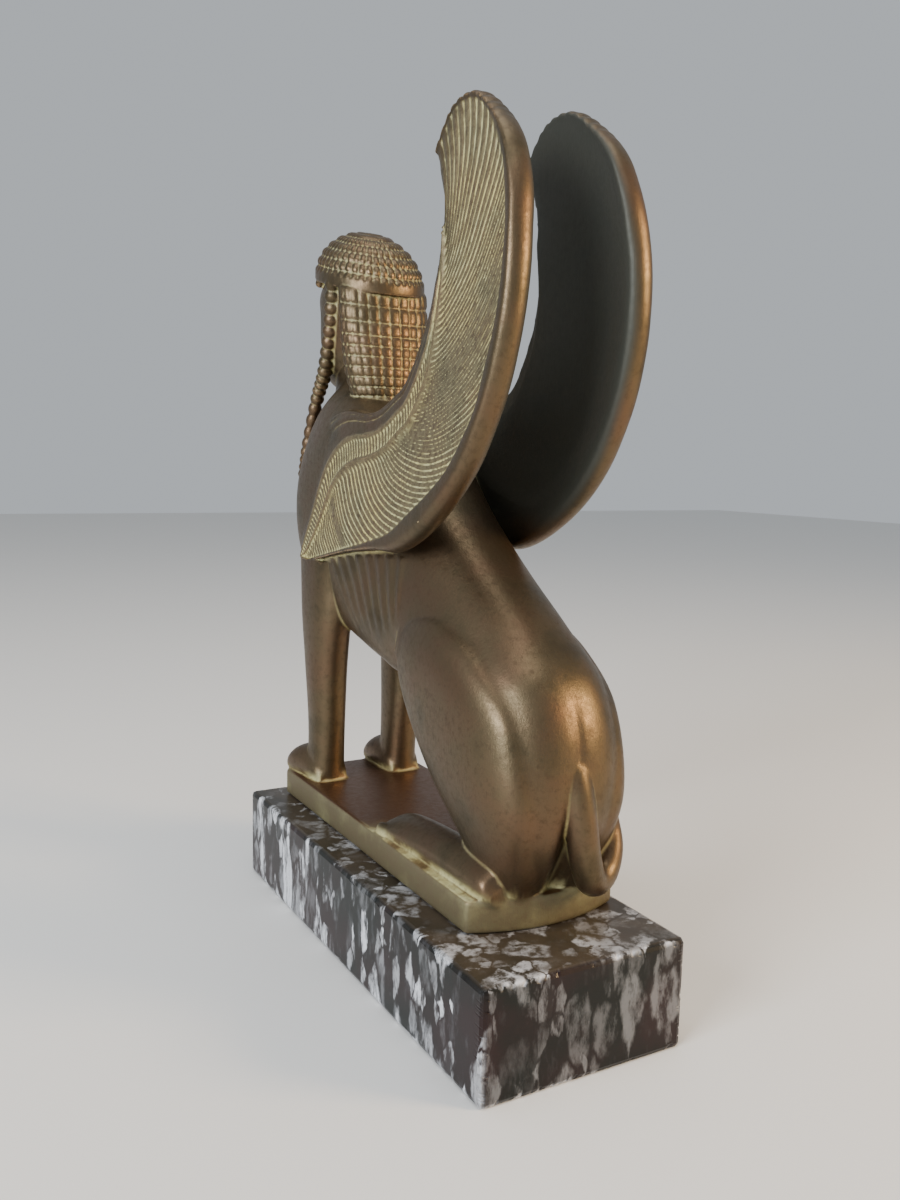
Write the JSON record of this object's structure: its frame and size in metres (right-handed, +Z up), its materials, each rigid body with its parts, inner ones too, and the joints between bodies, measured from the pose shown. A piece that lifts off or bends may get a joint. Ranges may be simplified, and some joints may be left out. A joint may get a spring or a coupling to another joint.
{
  "type": "sphinx statue",
  "caption": "Table-top bronze casting of a seated winged sphinx with its own thin slab, fixed on a chamfered block of dark veined marble.",
  "frame": {"origin": "centre of the marble plinth's underside", "axes": "+Z up, the sphinx faces -Y, its left side is +X"},
  "size_m": [0.0768, 0.2106, 0.3046],
  "materials": {
    "bronze": "satin",
    "marble": "polished"
  },
  "bodies": {
    "root": {"sphinx_figure": "bronze", "marble_plinth": "marble"}
  },
  "joints": []
}
